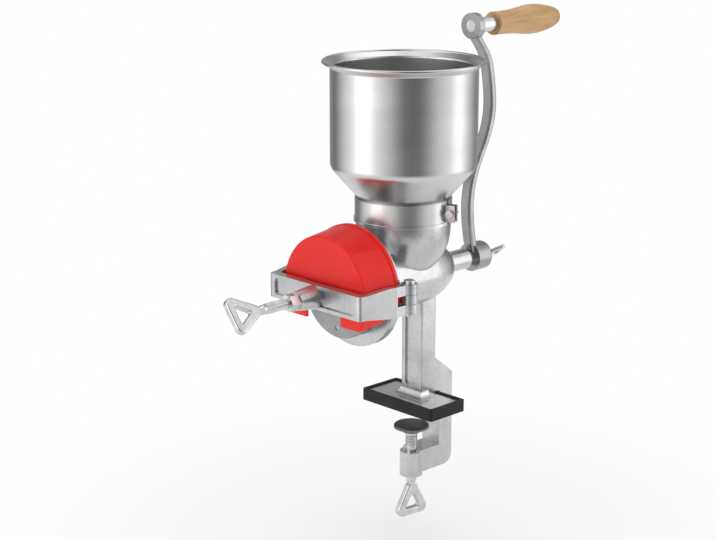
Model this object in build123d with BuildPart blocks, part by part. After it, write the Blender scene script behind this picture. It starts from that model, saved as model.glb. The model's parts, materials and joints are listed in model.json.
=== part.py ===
"""Hand-cranked plate mill for grain and nuts, with a table clamp.

Frame: +X runs along the crank shaft from the grinding plates to the crank, +Z is up.
The origin is the centre of the table pad's underside, which lies on the table.
All lengths are millimetres.
"""

from build123d import *
from math import atan2, cos, radians, sin
import os

# ---------------------------------------------------------------- driving dimensions
# shaft line
shaft_height = 144.0
shaft_d = 17.0
shaft_running_clearance = 0.05
square_seat = 12.0

# grinding plates, from the fixed disc forward to the carrier
disc_front_x = -88.0
disc_thickness = 9.0
disc_r = 59.6
plate_r = 47.5
plate_thickness = 6.0
plate_gap = 1.5
plate_eye_r = 26.5
plate_groove_depth = 1.4
plate_groove_width = 2.2
plate_groove_count = 24
carrier_thickness = 6.5
carrier_r = 48.0
carrier_hub_r = 13.0
carrier_hub_length = 5.0
plate_screw_d = 5.0
plate_screw_head_d = 9.5
plate_screw_head_depth = 2.6
plate_screw_centre_r = 38.0
plate_screw_count = 3

# mill body casting
disc_web_depth = 16.0
disc_web_step = 4.0
disc_web_drop = 10.0
barrel_r = 33.0
barrel_bore_r = 26.0
barrel_bore_end_x = 16.0
dome_start_x = -4.0
dome_end_x = 50.0
rear_boss_r = 10.8
rear_boss_end_x = 75.2
cup_top_z = 200.7
cup_r = 48.0
cup_wall = 3.2
cup_throat_drop = 27.0
cup_throat_r = 20.0
cup_waist_r = 45.0
cup_waist_drop = 24.0
cup_foot_r = 30.0
cup_foot_drop = 48.0
spigot_height = 19.0
neck_clearance = 0.25
ear_r = 8.0
ear_thickness = 9.0
ear_pin_x = -76.0
ear_pin_reach = 8.0
ear_root_y = 24.0
ear_root_r = 15.0

# post and foot plate
post_front_x = -3.6
post_depth = 22.3
post_width = 29.4
post_channel_width = 17.0
post_channel_depth = 2.0
post_channel_bottom = 22.0
post_channel_top = 108.0
foot_length = 43.0
foot_width = 92.0
foot_thickness = 5.6
foot_corner_r = 2.5
foot_cove_r = 8.0

# table pad
pad_length = 51.0
pad_width = 100.0
pad_floor = 5.2
pad_rim_rise = 1.4
pad_corner_r = 3.0
pad_clearance = 0.2

# C-clamp
spine_front_x = 27.2
spine_depth = 20.4
spine_width = 24.6
spine_shoulder_z = 28.5
spine_flare_z = 51.0
jaw_top_z = -47.5
jaw_bottom_z = -72.5
jaw_corner_r = 11.0
clamp_x = -2.0
clamp_boss_r = 12.0
clamp_boss_top_z = -49.5
clamp_boss_bottom_z = -76.0
clamp_screw_d = 11.6
clamp_disc_r = 18.5
clamp_disc_thickness = 3.2
clamp_disc_top_z = -20.5
clamp_disc_hub_r = 9.2
clamp_disc_hub_length = 5.0
clamp_tip_d = 8.0
clamp_tip_length = 6.0
clamp_shank_length = 52.0
clamp_ring_turn = 7.0

# ring heads of the screws: width across, length along the screw, bar thickness
clamp_ring_width = 46.0
clamp_ring_length = 40.0
clamp_ring_bar = 7.6
adjust_ring_width = 46.0
adjust_ring_length = 38.0
adjust_ring_bar = 7.2
adjust_ring_turn = 51.8
thumb_ring_width = 23.0
thumb_ring_length = 21.0
thumb_ring_bar = 4.0
thumb_ring_turn = 140.5

# yoke
yoke_front_x = -139.4
yoke_bar_thickness = 9.0
yoke_bar_half_length = 64.3
yoke_bar_height = 24.0
yoke_arm_thickness = 6.0
yoke_arm_height = 30.0
yoke_arm_reach = 11.2
yoke_splay_end_x = -96.0
yoke_taper_end_x = -104.0
yoke_corner_r = 4.0
yoke_flange = 3.6
yoke_channel_depth = 2.4
yoke_boss_length = 23.0
yoke_boss_base_r = 13.0
yoke_boss_tip_r = 9.3
yoke_slot_front_x = -95.0
knuckle_r = 8.0
ear_slot_clearance = 0.4

# yoke pins
pin_d = 7.0
pin_head_r = 5.6
pin_head_height = 3.4
pin_tail = 3.0
pin_clearance = 0.06

# adjusting screw, lock nut and thrust ball
adjust_screw_d = 9.6
ball_seat_gap = 4.2
adjust_shank_end_x = -205.0
lock_nut_flats = 15.5
lock_nut_thickness = 11.0
thread_clearance = 0.06
ball_r = 4.0
ball_clearance = 0.08

# feed screw
flight_r = 24.4
flight_pitch = 42.0
flight_turns = 2.25
flight_thickness = 4.6
flight_start_x = -82.0
flight_root_r = 10.5

# guard
guard_front_x = -126.3
guard_front_r = 57.4
guard_rear_overlap = 3.6
guard_wall = 2.2
guard_disc_clearance = 0.35
guard_front_drop = 28.0
guard_rear_drop = 16.0
guard_notch_top = 11.0
guard_notch_half = 24.0
guard_edge_r = 2.6
guard_lip = 1.2
guard_lip_width = 3.4

# hopper and its clamping collar
hopper_x = -16.4
hopper_sheet = 1.0
hopper_r = 73.6
hopper_top_z = 362.2
hopper_neck_height = 25.0
hopper_bowl_height = 30.0
hopper_bowl_corner_r = 12.0
hopper_rim_r = 81.6
hopper_flare_height = 7.5
hopper_bead_r = 1.7
collar_step = 1.0
collar_thickness = 2.0
collar_height = 24.0
collar_lift = 0.3
collar_lip = 1.0
collar_lip_height = 3.2
collar_gap = 4.0
collar_ear_length = 9.0
collar_ear_height = 17.0
collar_ear_thickness = 2.4
collar_ear_angle = -72.0
collar_screw_d = 4.0
collar_screw_head_r = 4.0
collar_screw_head_height = 3.0
collar_nut_flats = 7.0
collar_nut_thickness = 3.2

# crank
crank_throw = 243.0
hub_front_x = 83.6
hub_length = 20.0
hub_r = 15.0
crank_depth = 8.0
crank_width = 13.0
eye_x = 83.5
eye_r = 13.2
eye_thickness = 8.0
eye_recess_r = 6.2
eye_recess_depth = 2.2
# centre line of the arm: share of the throw, and x there
crank_line = (
    (0.0, 87.6),
    (0.14, 80.5),
    (0.29, 80.0),
    (0.40, 88.0),
    (0.50, 100.5),
    (0.62, 110.0),
    (0.78, 107.5),
    (0.88, 100.0),
    (0.95, 87.5),
    (1.0, 83.5),
)
washer_r = 9.5
washer_thickness = 1.6
thumb_screw_d = 7.8
thumb_neck_length = 6.5
thumb_thread_length = 18.0

# hand grip and its spindle
spindle_d = 15.5
spindle_collar_length = 25.0
spindle_bolt_d = 8.0
spindle_head_r = 5.8
spindle_head_height = 3.4
grip_length = 98.0
# turned shape of the grip: share of its length, and radius there
grip_shape = (
    (0.0, 12.2),
    (0.16, 12.0),
    (0.36, 13.2),
    (0.58, 15.4),
    (0.80, 13.8),
    (0.94, 10.8),
    (1.0, 8.8),
)
grip_end_recess_r = 6.6
grip_end_recess_depth = 6.0
grip_clearance = 0.08
grip_end_play = 0.35

# small construction values
overrun = 1.0
seat_overlap = 1.5
casting_edge_r = 2.5
bore_cone_depth = 16.0
jaw_inner_r = 5.0
rim_clearance = 0.4
ear_root_x = -58.0
plate_screw_angle = 30.0
plate_screw_reach = 7.5
screw_hole_clearance = 0.05
ring_corner_share = 0.9
ring_round_share = 0.22
ring_hole_share = 0.24
web_bridge_x = 21.0
clamp_shoulder_gap = 0.3
clamp_socket_extra = 0.2
flight_root_run_out = 6.0
head_edge_r = 0.7
square_seat_clearance = 0.05
crank_edge_r = 2.2
ring_reach = 1.5
spindle_relief = 0.3
spindle_relief_length = 9.0
plate_groove_skew = 2.6
thumb_shoulder_r = 5.2
eye_rivet_gap = 0.15
grip_edge_r = 1.2

# ---------------------------------------------------------------- derived places
disc_back_x = disc_front_x + disc_thickness
fixed_plate_front_x = disc_front_x - plate_thickness
moving_plate_back_x = fixed_plate_front_x - plate_gap
moving_plate_front_x = moving_plate_back_x - plate_thickness
carrier_front_x = moving_plate_front_x - carrier_thickness
carrier_hub_x = carrier_front_x - carrier_hub_length
shaft_nose_x = carrier_hub_x
adjust_tip_x = shaft_nose_x - ball_seat_gap
shaft_r = shaft_d / 2
journal_r = shaft_r + shaft_running_clearance
hub_rear_x = hub_front_x + hub_length

pad_top_z = pad_floor + foot_thickness + pad_rim_rise
foot_top_z = pad_floor + foot_thickness
post_mid_x = post_front_x + post_depth / 2
spine_rear_x = spine_front_x + spine_depth

collar_outer_r = cup_r + collar_step
collar_inner_r = collar_outer_r - collar_thickness
hopper_neck_r = collar_inner_r - neck_clearance
spigot_r = hopper_neck_r - hopper_sheet - neck_clearance
spigot_top_z = cup_top_z + spigot_height
cup_inner_r = spigot_r - cup_wall
cup_foot_z = cup_top_z - cup_foot_drop
post_rear_x = post_front_x + post_depth
hopper_foot_z = cup_top_z + collar_lift
flight_end_x = flight_start_x + flight_pitch * flight_turns
clamp_screw_r = clamp_screw_d / 2
clamp_bore_r = clamp_screw_r + thread_clearance
clamp_hub_z = clamp_disc_top_z - clamp_disc_thickness - clamp_disc_hub_length
clamp_shoulder_z = clamp_hub_z - clamp_shoulder_gap
clamp_ring_z = clamp_shoulder_z - clamp_shank_length
pin_hole_r = pin_d / 2 + pin_clearance
plate_screw_hole_r = plate_screw_d / 2 + screw_hole_clearance
plate_head_sink = plate_groove_depth + plate_screw_head_depth

ear_pin_y = disc_r + ear_pin_reach
yoke_arm_outer_y = disc_r + yoke_arm_reach
yoke_rear_x = ear_pin_x + knuckle_r
yoke_bar_rear_x = yoke_front_x + yoke_bar_thickness
yoke_boss_tip_x = yoke_front_x - yoke_boss_length
adjust_screw_r = adjust_screw_d / 2
guard_rear_x = disc_front_x + guard_rear_overlap
guard_rear_r = disc_r + guard_disc_clearance + guard_wall
ball_x = (shaft_nose_x + adjust_tip_x) / 2
grip_start_x = eye_x + eye_thickness / 2 + spindle_collar_length
grip_end_x = grip_start_x + grip_length
crank_top_z = shaft_height + crank_throw

# ---------------------------------------------------------------- planes and axes
shaft_origin = (0, 0, shaft_height)
shaft_axis = Axis(shaft_origin, (1, 0, 0))
shaft_side = Plane(origin=shaft_origin, x_dir=(1, 0, 0), z_dir=(0, -1, 0))
side_plane = Plane(origin=(0, 0, 0), x_dir=(1, 0, 0), z_dir=(0, -1, 0))
hopper_plane = Plane(origin=(hopper_x, 0, 0), x_dir=(1, 0, 0), z_dir=(0, -1, 0))
hopper_axis = Axis((hopper_x, 0, 0), (0, 0, 1))
clamp_axis = Axis((clamp_x, 0, 0), (0, 0, 1))
clamp_plane = Plane(origin=(clamp_x, 0, 0), x_dir=(1, 0, 0), z_dir=(0, -1, 0))
grip_axis = Axis((0, 0, crank_top_z), (1, 0, 0))
grip_side = Plane(origin=(0, 0, crank_top_z), x_dir=(1, 0, 0), z_dir=(0, -1, 0))


def across_shaft(x):
    """Plane square to the shaft at x, with +Y and +Z as its own axes."""
    return Plane(origin=(x, 0, shaft_height), x_dir=(0, 1, 0), z_dir=(1, 0, 0))


def across_grip(x):
    """Plane square to the grip's spindle at x."""
    return Plane(origin=(x, 0, crank_top_z), x_dir=(0, 1, 0), z_dir=(1, 0, 0))


def level_at(x, z):
    """Horizontal plane at height z, with its origin at x."""
    return Plane(origin=(x, 0, z))


def turned(plane, axis, *points, mode=Mode.ADD):
    """Solid of revolution from a half section given by its corners."""
    with BuildSketch(plane) as half:
        Polygon(*points, align=None)
    revolve(half.sketch, axis=axis, mode=mode)


def slab(plane, *points, half=0, mode=Mode.ADD):
    """Flat shape given by its corners, thickened both ways from its plane."""
    with BuildSketch(plane) as shape:
        Polygon(*points, align=None)
    extrude(shape.sketch, amount=half, both=True, mode=mode)


def round_bar(plane, radius, length, mode=Mode.ADD):
    """Cylinder that starts on a plane and runs along its normal."""
    with BuildSketch(plane) as disc:
        Circle(radius)
    extrude(disc.sketch, amount=length, mode=mode)


def round_hole(plane, radius, length):
    """Round hole from a plane along its normal, open a little in front of the plane."""
    round_bar(plane.offset(-overrun), radius, length + overrun, mode=Mode.SUBTRACT)


def thrust_sphere(radius, mode=Mode.ADD):
    """Ball on the shaft line between the adjusting screw and the shaft's nose."""
    with BuildSketch(shaft_side) as half_disc:
        with Locations((ball_x, 0)):
            Circle(radius)
        with Locations((ball_x, -radius)):
            Rectangle(2 * radius + overrun, 2 * radius, mode=Mode.SUBTRACT)
    revolve(half_disc.sketch, axis=shaft_axis, mode=mode)


def hex_bar(plane, flats, length):
    """Hexagonal prism that starts on a plane, sized across its flats."""
    with BuildSketch(plane) as hexagon:
        RegularPolygon(flats / 2, 6, major_radius=False)
    extrude(hexagon.sketch, amount=length)


def ring_head(plane, width, length, bar):
    """Rounded triangular finger ring: apex at the plane's origin, base along the plane's x."""
    lean = atan2(width / 2, length)
    hole_start = bar / sin(lean)
    hole_end = length - bar
    hole_half = (hole_end - hole_start) * width / 2 / length
    with BuildSketch(plane) as rim:
        Polygon((-bar / 2, 0), (length, -width / 2), (length, width / 2), align=None)
        fillet(rim.vertices(), bar * ring_corner_share)
    with BuildSketch(plane) as opening:
        Polygon((hole_start, 0), (hole_end, -hole_half), (hole_end, hole_half), align=None)
        fillet(opening.vertices(), bar * ring_hole_share)
    with BuildPart() as ring:
        extrude(rim.sketch, amount=bar / 2, both=True)
        extrude(opening.sketch, amount=bar, both=True, mode=Mode.SUBTRACT)
        fillet(ring.edges(), bar * ring_round_share)
    return ring.part


def finish(piece, name):
    """Name a finished piece and write it out."""
    piece.part.label = name
    export_step(piece.part, "parts/" + name + ".step")


os.makedirs("parts", exist_ok=True)

# ---------------------------------------------------------------- mill body casting
with BuildPart() as barrel:
    with BuildSketch(shaft_side) as barrel_half:
        with BuildLine():
            Polyline(
                (dome_end_x, 0),
                (disc_front_x, 0),
                (disc_front_x, disc_r),
                (disc_back_x, disc_r),
                (disc_back_x + disc_web_step, disc_r - disc_web_drop),
                (disc_back_x + disc_web_depth, barrel_r),
                (dome_start_x, barrel_r),
            )
            EllipticalCenterArc(
                (dome_start_x, 0), dome_end_x - dome_start_x, barrel_r, start_angle=0, arc_size=90
            )
        make_face()
    revolve(axis=shaft_axis)
    round_bar(across_shaft(dome_start_x), rear_boss_r, rear_boss_end_x - dome_start_x)

with BuildPart() as cup:
    with BuildSketch(hopper_plane):
        with BuildLine():
            Polyline(
                (cup_foot_r, cup_foot_z),
                (0, cup_foot_z),
                (0, spigot_top_z),
                (spigot_r, spigot_top_z),
                (spigot_r, cup_top_z),
                (cup_r, cup_top_z),
            )
            Spline(
                (cup_r, cup_top_z),
                (cup_waist_r, cup_top_z - cup_waist_drop),
                (cup_foot_r, cup_foot_z),
                tangents=((0, -1), (-1, -1)),
            )
        make_face()
    revolve(axis=hopper_axis)
    round_bar(level_at(hopper_x, shaft_height), cup_foot_r, cup_foot_z - shaft_height)

# post with its shallow front channel
with BuildPart() as post:
    with BuildSketch(level_at(post_mid_x, foot_top_z - seat_overlap)):
        RectangleRounded(post_depth, post_width, casting_edge_r)
    extrude(amount=shaft_height - foot_top_z)
    with BuildSketch(Plane.YZ.offset(post_front_x - overrun)):
        with Locations((0, (post_channel_bottom + post_channel_top) / 2)):
            RectangleRounded(
                post_channel_width, post_channel_top - post_channel_bottom, post_channel_width / 4
            )
    extrude(amount=post_channel_depth + overrun, mode=Mode.SUBTRACT)

# foot flare: quarter-round coves in front of the post and at its sides
cove_top_z = foot_top_z + foot_cove_r
flare_front_x = post_front_x - foot_cove_r
flare_half_y = post_width / 2 + foot_cove_r
with BuildPart() as foot_flare:
    with BuildSketch(side_plane):
        with BuildLine():
            RadiusArc((post_front_x, cove_top_z), (flare_front_x, foot_top_z), foot_cove_r)
            Polyline(
                (flare_front_x, foot_top_z),
                (post_mid_x, foot_top_z),
                (post_mid_x, cove_top_z),
                (post_front_x, cove_top_z),
            )
        make_face()
    extrude(amount=flare_half_y, both=True)
    with BuildSketch(Plane.YZ):
        with BuildLine():
            RadiusArc((flare_half_y, foot_top_z), (post_width / 2, cove_top_z), foot_cove_r)
            Line((post_width / 2, cove_top_z), (-post_width / 2, cove_top_z))
            RadiusArc((-post_width / 2, cove_top_z), (-flare_half_y, foot_top_z), foot_cove_r)
            Line((-flare_half_y, foot_top_z), (flare_half_y, foot_top_z))
        make_face()
    extrude(amount=pad_width, both=True, mode=Mode.INTERSECT)

# C-shaped clamp frame behind and below the pad, with its threaded boss
with BuildPart() as clamp_frame:
    with BuildSketch(side_plane) as clamp_side:
        Polygon(
            (post_mid_x, spine_flare_z),
            (post_rear_x, spine_flare_z),
            (spine_rear_x, spine_shoulder_z),
            (spine_rear_x, jaw_bottom_z),
            (clamp_x, jaw_bottom_z),
            (clamp_x, jaw_top_z),
            (spine_front_x, jaw_top_z),
            (spine_front_x, pad_top_z + rim_clearance),
            (web_bridge_x, pad_top_z + rim_clearance),
            (web_bridge_x, foot_top_z - seat_overlap),
            (post_mid_x, foot_top_z - seat_overlap),
            align=None,
        )
        corners = clamp_side.vertices()
        fillet(corners.sort_by_distance((spine_rear_x, jaw_bottom_z))[0], jaw_corner_r)
        fillet(corners.sort_by_distance((spine_front_x, jaw_top_z))[0], jaw_inner_r)
        fillet(corners.sort_by_distance((spine_rear_x, spine_shoulder_z))[0], jaw_inner_r)
        fillet(corners.sort_by_distance((post_rear_x, spine_flare_z))[0], jaw_inner_r)
    extrude(amount=spine_width / 2, both=True)
    fillet(clamp_frame.edges().filter_by(Axis.Z).group_by(Axis.X)[-1], casting_edge_r)
    round_bar(
        level_at(clamp_x, clamp_boss_bottom_z), clamp_boss_r, clamp_boss_top_z - clamp_boss_bottom_z
    )

with BuildPart() as ears:
    with BuildSketch(Plane.XY.offset(shaft_height)) as left_lug:
        with Locations((ear_pin_x, ear_pin_y)):
            Circle(ear_r)
        with Locations((ear_root_x, ear_root_y)):
            Circle(ear_root_r)
        make_hull()
    extrude(amount=ear_thickness / 2, both=True)
    mirror(about=Plane.XZ)

with BuildPart() as body_casting:
    add(barrel.part)
    add(cup.part)
    add(post.part)
    add(foot_flare.part)
    add(clamp_frame.part)
    add(ears.part)
    with BuildSketch(Plane.XY.offset(pad_floor)):
        RectangleRounded(foot_length, foot_width, foot_corner_r)
    extrude(amount=foot_thickness)
    # feed throat down through the cup
    turned(
        hopper_plane,
        hopper_axis,
        (0, shaft_height),
        (cup_throat_r, shaft_height),
        (cup_throat_r, cup_foot_z),
        (cup_inner_r, cup_top_z - cup_throat_drop),
        (cup_inner_r, spigot_top_z + overrun),
        (0, spigot_top_z + overrun),
        mode=Mode.SUBTRACT,
    )
    # feed barrel, its end cone and the shaft journal
    turned(
        shaft_side,
        shaft_axis,
        (disc_front_x - overrun, 0),
        (disc_front_x - overrun, barrel_bore_r),
        (barrel_bore_end_x, barrel_bore_r),
        (barrel_bore_end_x + bore_cone_depth, journal_r),
        (rear_boss_end_x + overrun, journal_r),
        (rear_boss_end_x + overrun, 0),
        mode=Mode.SUBTRACT,
    )
    # clamp screw, pin and plate screw holes
    round_hole(
        level_at(clamp_x, clamp_boss_bottom_z), clamp_bore_r, jaw_top_z - clamp_boss_bottom_z + overrun
    )
    with BuildSketch(Plane.XY.offset(shaft_height)):
        with Locations((ear_pin_x, ear_pin_y), (ear_pin_x, -ear_pin_y)):
            Circle(pin_hole_r)
    extrude(amount=ear_thickness, both=True, mode=Mode.SUBTRACT)
    with BuildSketch(across_shaft(disc_front_x - overrun)):
        with PolarLocations(plate_screw_centre_r, plate_screw_count, start_angle=plate_screw_angle):
            Circle(plate_screw_hole_r)
    extrude(amount=plate_screw_reach + overrun, mode=Mode.SUBTRACT)
finish(body_casting, "body_casting")

# ---------------------------------------------------------------- table pad
with BuildPart() as table_pad:
    with BuildSketch(Plane.XY):
        RectangleRounded(pad_length, pad_width, pad_corner_r)
    extrude(amount=pad_top_z)
    with BuildSketch(Plane.XY.offset(pad_floor)):
        RectangleRounded(
            foot_length + 2 * pad_clearance, foot_width + 2 * pad_clearance, foot_corner_r
        )
    extrude(amount=foot_thickness + pad_rim_rise, mode=Mode.SUBTRACT)
finish(table_pad, "table_pad")

# ---------------------------------------------------------------- clamp disc and screw
with BuildPart() as clamp_disc:
    turned(
        clamp_plane,
        clamp_axis,
        (0, clamp_disc_top_z),
        (clamp_disc_r - overrun, clamp_disc_top_z),
        (clamp_disc_r, clamp_disc_top_z - overrun),
        (clamp_disc_r, clamp_disc_top_z - clamp_disc_thickness),
        (clamp_disc_hub_r, clamp_disc_top_z - clamp_disc_thickness),
        (clamp_disc_hub_r, clamp_hub_z),
        (0, clamp_hub_z),
    )
    round_hole(
        level_at(clamp_x, clamp_hub_z),
        clamp_tip_d / 2 + pin_clearance,
        clamp_tip_length - clamp_shoulder_gap + clamp_socket_extra,
    )
finish(clamp_disc, "clamp_disc")

clamp_turn = radians(-clamp_ring_turn)
clamp_ring_plane = Plane(
    origin=(clamp_x, 0, clamp_ring_z),
    x_dir=(0, 0, -1),
    z_dir=(sin(clamp_turn), -cos(clamp_turn), 0),
)
clamp_ring = ring_head(clamp_ring_plane, clamp_ring_width, clamp_ring_length, clamp_ring_bar)
with BuildPart() as clamp_screw:
    add(clamp_ring)
    turned(
        clamp_plane,
        clamp_axis,
        (0, clamp_ring_z - ring_reach * clamp_ring_bar),
        (clamp_ring_bar / 3, clamp_ring_z - ring_reach * clamp_ring_bar),
        (clamp_screw_r, clamp_ring_z),
        (clamp_screw_r, clamp_shoulder_z),
        (clamp_tip_d / 2, clamp_shoulder_z),
        (clamp_tip_d / 2, clamp_shoulder_z + clamp_tip_length),
        (0, clamp_shoulder_z + clamp_tip_length),
    )
finish(clamp_screw, "clamp_screw")

# ---------------------------------------------------------------- yoke and its two pins
yoke_plan = Plane.XY.offset(shaft_height)
bar_inner_y = yoke_bar_half_length - yoke_arm_thickness
arm_inner_y = yoke_arm_outer_y - yoke_arm_thickness
with BuildPart() as yoke:
    with BuildSketch(yoke_plan) as yoke_shape:
        Polygon(
            (yoke_front_x, yoke_bar_half_length),
            (yoke_splay_end_x, yoke_arm_outer_y),
            (ear_pin_x, yoke_arm_outer_y),
            (ear_pin_x, arm_inner_y),
            (yoke_splay_end_x, arm_inner_y),
            (yoke_bar_rear_x, bar_inner_y),
            (yoke_bar_rear_x, -bar_inner_y),
            (yoke_splay_end_x, -arm_inner_y),
            (ear_pin_x, -arm_inner_y),
            (ear_pin_x, -yoke_arm_outer_y),
            (yoke_splay_end_x, -yoke_arm_outer_y),
            (yoke_front_x, -yoke_bar_half_length),
            align=None,
        )
        fillet(yoke_shape.vertices().group_by(Axis.X)[0], yoke_corner_r)
        fillet(yoke_shape.vertices().group_by(Axis.X)[2], yoke_corner_r)
        with Locations((ear_pin_x, ear_pin_y), (ear_pin_x, -ear_pin_y)):
            Circle(knuckle_r)
    extrude(amount=yoke_arm_height / 2, both=True)
    slab(
        shaft_side,
        (yoke_front_x - overrun, -yoke_bar_height / 2),
        (yoke_bar_rear_x, -yoke_bar_height / 2),
        (yoke_taper_end_x, -yoke_arm_height / 2),
        (yoke_rear_x + overrun, -yoke_arm_height / 2),
        (yoke_rear_x + overrun, yoke_arm_height / 2),
        (yoke_taper_end_x, yoke_arm_height / 2),
        (yoke_bar_rear_x, yoke_bar_height / 2),
        (yoke_front_x - overrun, yoke_bar_height / 2),
        half=yoke_arm_outer_y + knuckle_r,
        mode=Mode.INTERSECT,
    )
    # channel between the bar's two flanges
    with BuildSketch(across_shaft(yoke_front_x - overrun)):
        RectangleRounded(
            2 * (yoke_bar_half_length - yoke_flange - yoke_corner_r),
            yoke_bar_height - 2 * yoke_flange,
            yoke_flange,
        )
    extrude(amount=yoke_channel_depth + overrun, mode=Mode.SUBTRACT)
    # screw boss
    turned(
        shaft_side,
        shaft_axis,
        (yoke_bar_rear_x, 0),
        (yoke_bar_rear_x, yoke_boss_tip_r),
        (yoke_front_x + yoke_channel_depth, yoke_boss_base_r - overrun),
        (yoke_front_x, yoke_boss_base_r - overrun),
        (yoke_boss_tip_x, yoke_boss_tip_r),
        (yoke_boss_tip_x, 0),
    )
    # slots for the body's ears, then the pin and screw holes
    slab(
        shaft_side,
        (yoke_slot_front_x, -ear_thickness / 2 - ear_slot_clearance),
        (yoke_rear_x + overrun, -ear_thickness / 2 - ear_slot_clearance),
        (yoke_rear_x + overrun, ear_thickness / 2 + ear_slot_clearance),
        (yoke_slot_front_x, ear_thickness / 2 + ear_slot_clearance),
        half=yoke_arm_outer_y + knuckle_r,
        mode=Mode.SUBTRACT,
    )
    with BuildSketch(yoke_plan):
        with Locations((ear_pin_x, ear_pin_y), (ear_pin_x, -ear_pin_y)):
            Circle(pin_hole_r)
    extrude(amount=yoke_arm_height, both=True, mode=Mode.SUBTRACT)
    round_hole(
        across_shaft(yoke_boss_tip_x),
        adjust_screw_r + thread_clearance,
        yoke_bar_rear_x - yoke_boss_tip_x + overrun,
    )
finish(yoke, "yoke")

pin_head_z = shaft_height + yoke_arm_height / 2
pin_end_z = shaft_height - yoke_arm_height / 2 - pin_tail
for side, name in ((-1, "yoke_pin_left"), (1, "yoke_pin_right")):
    with BuildPart() as yoke_pin:
        with BuildSketch(Plane.XY.offset(pin_end_z)):
            with Locations((ear_pin_x, side * ear_pin_y)):
                Circle(pin_d / 2)
        extrude(amount=pin_head_z - pin_end_z)
        chamfer(yoke_pin.edges().group_by(Axis.Z)[0], head_edge_r)
        with BuildSketch(Plane.XY.offset(pin_head_z)):
            with Locations((ear_pin_x, side * ear_pin_y)):
                Circle(pin_head_r)
        extrude(amount=pin_head_height)
        fillet(yoke_pin.edges().group_by(Axis.Z)[-1], pin_head_height / 3)
    finish(yoke_pin, name)

# ---------------------------------------------------------------- adjusting screw, lock nut, ball
adjust_turn = radians(adjust_ring_turn)
adjust_ring_plane = Plane(
    origin=(adjust_shank_end_x, 0, shaft_height),
    x_dir=(-1, 0, 0),
    z_dir=(0, sin(adjust_turn), -cos(adjust_turn)),
)
adjust_ring = ring_head(adjust_ring_plane, adjust_ring_width, adjust_ring_length, adjust_ring_bar)
with BuildPart() as adjusting_screw:
    add(adjust_ring)
    turned(
        shaft_side,
        shaft_axis,
        (adjust_tip_x, 0),
        (adjust_tip_x, adjust_screw_r),
        (adjust_shank_end_x, adjust_screw_r),
        (adjust_shank_end_x - ring_reach * adjust_ring_bar, adjust_ring_bar / 3),
        (adjust_shank_end_x - ring_reach * adjust_ring_bar, 0),
    )
    thrust_sphere(ball_r + ball_clearance, mode=Mode.SUBTRACT)
finish(adjusting_screw, "adjusting_screw")

with BuildPart() as lock_nut:
    hex_bar(across_shaft(yoke_boss_tip_x - lock_nut_thickness), lock_nut_flats, lock_nut_thickness)
    round_hole(
        across_shaft(yoke_boss_tip_x - lock_nut_thickness),
        adjust_screw_r + thread_clearance,
        lock_nut_thickness + overrun,
    )
finish(lock_nut, "lock_nut")

with BuildPart() as thrust_ball:
    thrust_sphere(ball_r)
finish(thrust_ball, "thrust_ball")

# ---------------------------------------------------------------- guard over the plates
guard_seat_x = disc_front_x - guard_wall
guard_inner_x = guard_front_x + guard_wall
with BuildPart() as guard:
    turned(
        shaft_side,
        shaft_axis,
        (guard_rear_x, 0),
        (guard_rear_x, guard_rear_r + guard_lip),
        (guard_rear_x - guard_lip_width, guard_rear_r + guard_lip),
        (guard_rear_x - guard_lip_width, guard_rear_r),
        (guard_seat_x, guard_rear_r),
        (guard_front_x, guard_front_r),
        (guard_front_x, 0),
    )
    fillet(guard.edges().group_by(Axis.X)[0], guard_edge_r)
    turned(
        shaft_side,
        shaft_axis,
        (guard_rear_x + overrun, 0),
        (guard_rear_x + overrun, guard_rear_r - guard_wall),
        (guard_seat_x, guard_rear_r - guard_wall),
        (guard_inner_x, guard_front_r - guard_wall),
        (guard_inner_x, 0),
        mode=Mode.SUBTRACT,
    )
    # open below, where the side walls hang lower at the front
    slab(
        shaft_side,
        (guard_front_x - overrun, -guard_front_drop),
        (guard_rear_x + overrun, -guard_rear_drop),
        (guard_rear_x + overrun, -2 * guard_rear_r),
        (guard_front_x - overrun, -2 * guard_rear_r),
        half=guard_rear_r + guard_lip + overrun,
        mode=Mode.SUBTRACT,
    )
    # notch in the front wall for the adjusting screw
    slab(
        shaft_side,
        (guard_front_x - overrun, guard_notch_top),
        (guard_inner_x + guard_edge_r, guard_notch_top),
        (guard_inner_x + guard_edge_r, -2 * guard_rear_r),
        (guard_front_x - overrun, -2 * guard_rear_r),
        half=guard_notch_half,
        mode=Mode.SUBTRACT,
    )
finish(guard, "guard")

# ---------------------------------------------------------------- hopper and its collar
hopper_shoulder_z = hopper_foot_z + hopper_neck_height + hopper_bowl_height
bead_z = hopper_top_z - hopper_bead_r
bead_x = hopper_rim_r - hopper_bead_r
with BuildPart() as hopper:
    with BuildSketch(hopper_plane):
        with BuildLine() as hopper_line:
            FilletPolyline(
                (hopper_neck_r, hopper_foot_z),
                (hopper_neck_r, hopper_foot_z + hopper_neck_height),
                (hopper_r, hopper_shoulder_z),
                (hopper_r, hopper_top_z - hopper_flare_height),
                (bead_x, bead_z),
                radius=(hopper_bead_r, hopper_bowl_corner_r, hopper_bead_r),
            )
            offset(hopper_line.line, amount=hopper_sheet, side=Side.LEFT)
        make_face()
    revolve(axis=hopper_axis)
    with BuildSketch(hopper_plane):
        with Locations((bead_x, bead_z)):
            Circle(hopper_bead_r)
    revolve(axis=hopper_axis)
finish(hopper, "hopper")

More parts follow.
